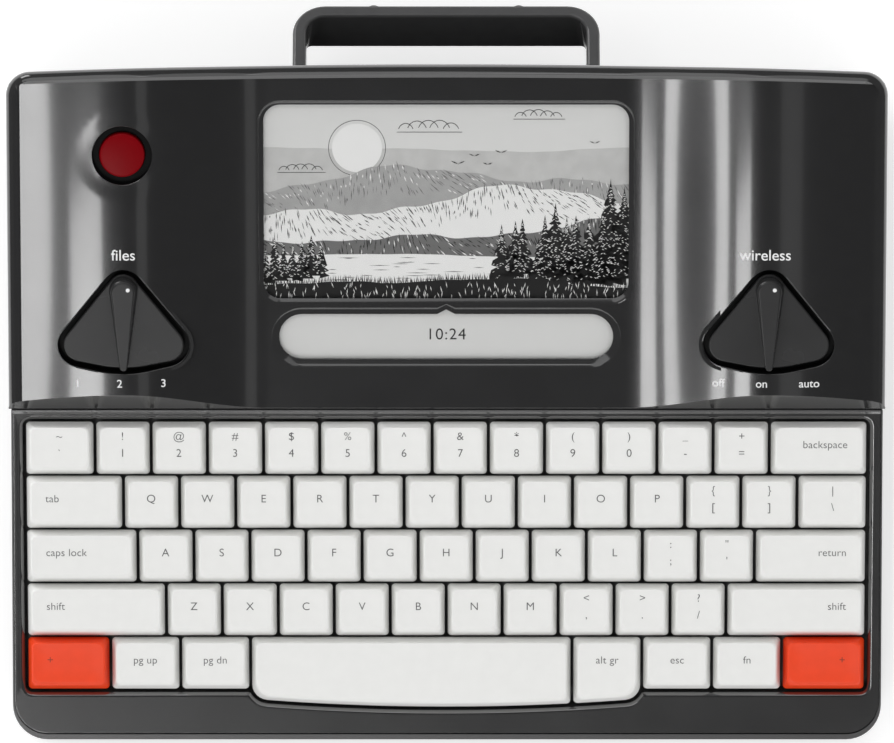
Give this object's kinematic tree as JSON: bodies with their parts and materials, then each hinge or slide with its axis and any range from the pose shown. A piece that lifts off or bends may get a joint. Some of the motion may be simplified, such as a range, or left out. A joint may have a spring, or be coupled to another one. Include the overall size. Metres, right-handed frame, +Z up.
{
  "type": "electronic word processor",
  "caption": "Portable electronic word processor: wedge-shaped case with a mechanical keyboard, raised head with e-paper windows, pointer selectors, a round button and a fold-out carry handle.",
  "frame": {"origin": "on the table, below the middle of the whole outline with its handle", "axes": "+X to the typist's right, +Y away from the typist, +Z up"},
  "size_m": [0.2976, 0.2501, 0.0891],
  "materials": {
    "body_metal": "dark anodised, satin",
    "deck_black": "dark grey, fine satin",
    "head_gloss": "near-black, mirror-like clear coat",
    "keycap_white": "warm white, fine satin",
    "keycap_red": "orange-red, fine satin",
    "key_plate": "bare plate below, white caps above",
    "button_red": "deep red, glossy",
    "control_black": "black, semi-gloss",
    "glass_clear": "clear",
    "paper_grey": "paper-like grey",
    "handle_black": "black, matte",
    "rubber_black": "matte",
    "steel": "plain",
    "pan_metal": "plain",
    "board_green": "solder mask",
    "battery_silver": "foil pouch"
  },
  "bodies": {
    "case": {"lower_shell": "body_metal", "top_deck": "deck_black", "head_cover": "head_gloss", "main_window": "glass_clear", "status_window": "glass_clear", "eink_panel": "paper_grey", "display_carrier": "pan_metal", "key_plate": "key_plate", "key_circuit_board": "board_green", "main_circuit_board": "board_green", "battery_pack": "battery_silver", "usb_socket": "steel", "folder_dial": "control_black", "wireless_dial": "control_black", "handle_pin_left": "steel", "handle_pin_right": "steel", "foot_front": "rubber_black", "foot_rear": "rubber_black"},
    "button": {"power_button": "button_red"},
    "folder_pointer": {"folder_lever": "control_black"},
    "wireless_pointer": {"wireless_lever": "control_black"},
    "handle": {"carry_handle": "handle_black", "handle_pad_left": "rubber_black", "handle_pad_right": "rubber_black"},
    "cap_a": {"key_a": "keycap_white"},
    "cap_b": {"key_b": "keycap_white"},
    "cap_c": {"key_c": "keycap_white"},
    "cap_d": {"key_d": "keycap_white"},
    "cap_e": {"key_e": "keycap_white"},
    "cap_f": {"key_f": "keycap_white"},
    "cap_g": {"key_g": "keycap_white"},
    "cap_h": {"key_h": "keycap_white"},
    "cap_i": {"key_i": "keycap_white"},
    "cap_j": {"key_j": "keycap_white"},
    "cap_k": {"key_k": "keycap_white"},
    "cap_l": {"key_l": "keycap_white"},
    "cap_m": {"key_m": "keycap_white"},
    "cap_n": {"key_n": "keycap_white"},
    "cap_o": {"key_o": "keycap_white"},
    "cap_p": {"key_p": "keycap_white"},
    "cap_q": {"key_q": "keycap_white"},
    "cap_r": {"key_r": "keycap_white"},
    "cap_s": {"key_s": "keycap_white"},
    "cap_t": {"key_t": "keycap_white"},
    "cap_u": {"key_u": "keycap_white"},
    "cap_v": {"key_v": "keycap_white"},
    "cap_w": {"key_w": "keycap_white"},
    "cap_x": {"key_x": "keycap_white"},
    "cap_y": {"key_y": "keycap_white"},
    "cap_z": {"key_z": "keycap_white"},
    "cap_space": {"key_space": "keycap_white"},
    "cap_alt_gr": {"key_alt_gr": "keycap_white"},
    "cap_backspace": {"key_backspace": "keycap_white"},
    "cap_caps_lock": {"key_caps_lock": "keycap_white"},
    "cap_return": {"key_return": "keycap_white"},
    "cap_shift_left": {"key_shift_left": "keycap_white"},
    "cap_shift_right": {"key_shift_right": "keycap_white"},
    "cap_tab": {"key_tab": "keycap_white"},
    "cap_new_left": {"key_new_left": "keycap_red"},
    "cap_new_right": {"key_new_right": "keycap_red"}
  },
  "joints": [
    {"name": "button_power_press", "type": "slide", "parent": "case", "child": "button", "axis": [0, 0.2672, -0.9636], "range_m": [0, 0.0012], "stiffness_N_per_m": 400, "springref_m": -0.002},
    {"name": "carry_handle_fold", "type": "hinge", "parent": "case", "child": "handle", "pos_m": [0, 0.09062, 0.05], "axis": [1, 0, 0], "range_deg": [-59, 46]},
    {"name": "dial_folder_turn", "type": "hinge", "parent": "case", "child": "folder_pointer", "pos_m": [-0.1089, 0.02782, 0.06559], "axis": [0, -0.2672, 0.9636], "range_deg": [-23.5, 23.5]},
    {"name": "dial_wireless_turn", "type": "hinge", "parent": "case", "child": "wireless_pointer", "pos_m": [0.1089, 0.02782, 0.06559], "axis": [0, -0.2672, 0.9636], "range_deg": [-23.5, 23.5]},
    {"name": "key_a_press", "type": "slide", "parent": "case", "child": "cap_a", "axis": [0, 0.2672, -0.9636], "range_m": [0, 0.004], "stiffness_N_per_m": 75, "springref_m": -0.004},
    {"name": "key_b_press", "type": "slide", "parent": "case", "child": "cap_b", "axis": [0, 0.2672, -0.9636], "range_m": [0, 0.004], "stiffness_N_per_m": 75, "springref_m": -0.004},
    {"name": "key_c_press", "type": "slide", "parent": "case", "child": "cap_c", "axis": [0, 0.2672, -0.9636], "range_m": [0, 0.004], "stiffness_N_per_m": 75, "springref_m": -0.004},
    {"name": "key_d_press", "type": "slide", "parent": "case", "child": "cap_d", "axis": [0, 0.2672, -0.9636], "range_m": [0, 0.004], "stiffness_N_per_m": 75, "springref_m": -0.004},
    {"name": "key_e_press", "type": "slide", "parent": "case", "child": "cap_e", "axis": [0, 0.2672, -0.9636], "range_m": [0, 0.004], "stiffness_N_per_m": 75, "springref_m": -0.004},
    {"name": "key_f_press", "type": "slide", "parent": "case", "child": "cap_f", "axis": [0, 0.2672, -0.9636], "range_m": [0, 0.004], "stiffness_N_per_m": 75, "springref_m": -0.004},
    {"name": "key_g_press", "type": "slide", "parent": "case", "child": "cap_g", "axis": [0, 0.2672, -0.9636], "range_m": [0, 0.004], "stiffness_N_per_m": 75, "springref_m": -0.004},
    {"name": "key_h_press", "type": "slide", "parent": "case", "child": "cap_h", "axis": [0, 0.2672, -0.9636], "range_m": [0, 0.004], "stiffness_N_per_m": 75, "springref_m": -0.004},
    {"name": "key_i_press", "type": "slide", "parent": "case", "child": "cap_i", "axis": [0, 0.2672, -0.9636], "range_m": [0, 0.004], "stiffness_N_per_m": 75, "springref_m": -0.004},
    {"name": "key_j_press", "type": "slide", "parent": "case", "child": "cap_j", "axis": [0, 0.2672, -0.9636], "range_m": [0, 0.004], "stiffness_N_per_m": 75, "springref_m": -0.004},
    {"name": "key_k_press", "type": "slide", "parent": "case", "child": "cap_k", "axis": [0, 0.2672, -0.9636], "range_m": [0, 0.004], "stiffness_N_per_m": 75, "springref_m": -0.004},
    {"name": "key_l_press", "type": "slide", "parent": "case", "child": "cap_l", "axis": [0, 0.2672, -0.9636], "range_m": [0, 0.004], "stiffness_N_per_m": 75, "springref_m": -0.004},
    {"name": "key_m_press", "type": "slide", "parent": "case", "child": "cap_m", "axis": [0, 0.2672, -0.9636], "range_m": [0, 0.004], "stiffness_N_per_m": 75, "springref_m": -0.004},
    {"name": "key_n_press", "type": "slide", "parent": "case", "child": "cap_n", "axis": [0, 0.2672, -0.9636], "range_m": [0, 0.004], "stiffness_N_per_m": 75, "springref_m": -0.004},
    {"name": "key_o_press", "type": "slide", "parent": "case", "child": "cap_o", "axis": [0, 0.2672, -0.9636], "range_m": [0, 0.004], "stiffness_N_per_m": 75, "springref_m": -0.004},
    {"name": "key_p_press", "type": "slide", "parent": "case", "child": "cap_p", "axis": [0, 0.2672, -0.9636], "range_m": [0, 0.004], "stiffness_N_per_m": 75, "springref_m": -0.004},
    {"name": "key_q_press", "type": "slide", "parent": "case", "child": "cap_q", "axis": [0, 0.2672, -0.9636], "range_m": [0, 0.004], "stiffness_N_per_m": 75, "springref_m": -0.004},
    {"name": "key_r_press", "type": "slide", "parent": "case", "child": "cap_r", "axis": [0, 0.2672, -0.9636], "range_m": [0, 0.004], "stiffness_N_per_m": 75, "springref_m": -0.004},
    {"name": "key_s_press", "type": "slide", "parent": "case", "child": "cap_s", "axis": [0, 0.2672, -0.9636], "range_m": [0, 0.004], "stiffness_N_per_m": 75, "springref_m": -0.004},
    {"name": "key_t_press", "type": "slide", "parent": "case", "child": "cap_t", "axis": [0, 0.2672, -0.9636], "range_m": [0, 0.004], "stiffness_N_per_m": 75, "springref_m": -0.004},
    {"name": "key_u_press", "type": "slide", "parent": "case", "child": "cap_u", "axis": [0, 0.2672, -0.9636], "range_m": [0, 0.004], "stiffness_N_per_m": 75, "springref_m": -0.004},
    {"name": "key_v_press", "type": "slide", "parent": "case", "child": "cap_v", "axis": [0, 0.2672, -0.9636], "range_m": [0, 0.004], "stiffness_N_per_m": 75, "springref_m": -0.004},
    {"name": "key_w_press", "type": "slide", "parent": "case", "child": "cap_w", "axis": [0, 0.2672, -0.9636], "range_m": [0, 0.004], "stiffness_N_per_m": 75, "springref_m": -0.004},
    {"name": "key_x_press", "type": "slide", "parent": "case", "child": "cap_x", "axis": [0, 0.2672, -0.9636], "range_m": [0, 0.004], "stiffness_N_per_m": 75, "springref_m": -0.004},
    {"name": "key_y_press", "type": "slide", "parent": "case", "child": "cap_y", "axis": [0, 0.2672, -0.9636], "range_m": [0, 0.004], "stiffness_N_per_m": 75, "springref_m": -0.004},
    {"name": "key_z_press", "type": "slide", "parent": "case", "child": "cap_z", "axis": [0, 0.2672, -0.9636], "range_m": [0, 0.004], "stiffness_N_per_m": 75, "springref_m": -0.004},
    {"name": "key_space_press", "type": "slide", "parent": "case", "child": "cap_space", "axis": [0, 0.2672, -0.9636], "range_m": [0, 0.004], "stiffness_N_per_m": 75, "springref_m": -0.004},
    {"name": "key_alt_gr_press", "type": "slide", "parent": "case", "child": "cap_alt_gr", "axis": [0, 0.2672, -0.9636], "range_m": [0, 0.004], "stiffness_N_per_m": 75, "springref_m": -0.004},
    {"name": "key_backspace_press", "type": "slide", "parent": "case", "child": "cap_backspace", "axis": [0, 0.2672, -0.9636], "range_m": [0, 0.004], "stiffness_N_per_m": 75, "springref_m": -0.004},
    {"name": "key_caps_lock_press", "type": "slide", "parent": "case", "child": "cap_caps_lock", "axis": [0, 0.2672, -0.9636], "range_m": [0, 0.004], "stiffness_N_per_m": 75, "springref_m": -0.004},
    {"name": "key_return_press", "type": "slide", "parent": "case", "child": "cap_return", "axis": [0, 0.2672, -0.9636], "range_m": [0, 0.004], "stiffness_N_per_m": 75, "springref_m": -0.004},
    {"name": "key_shift_left_press", "type": "slide", "parent": "case", "child": "cap_shift_left", "axis": [0, 0.2672, -0.9636], "range_m": [0, 0.004], "stiffness_N_per_m": 75, "springref_m": -0.004},
    {"name": "key_shift_right_press", "type": "slide", "parent": "case", "child": "cap_shift_right", "axis": [0, 0.2672, -0.9636], "range_m": [0, 0.004], "stiffness_N_per_m": 75, "springref_m": -0.004},
    {"name": "key_tab_press", "type": "slide", "parent": "case", "child": "cap_tab", "axis": [0, 0.2672, -0.9636], "range_m": [0, 0.004], "stiffness_N_per_m": 75, "springref_m": -0.004},
    {"name": "key_new_left_press", "type": "slide", "parent": "case", "child": "cap_new_left", "axis": [0, 0.2672, -0.9636], "range_m": [0, 0.004], "stiffness_N_per_m": 75, "springref_m": -0.004},
    {"name": "key_new_right_press", "type": "slide", "parent": "case", "child": "cap_new_right", "axis": [0, 0.2672, -0.9636], "range_m": [0, 0.004], "stiffness_N_per_m": 75, "springref_m": -0.004}
  ]
}
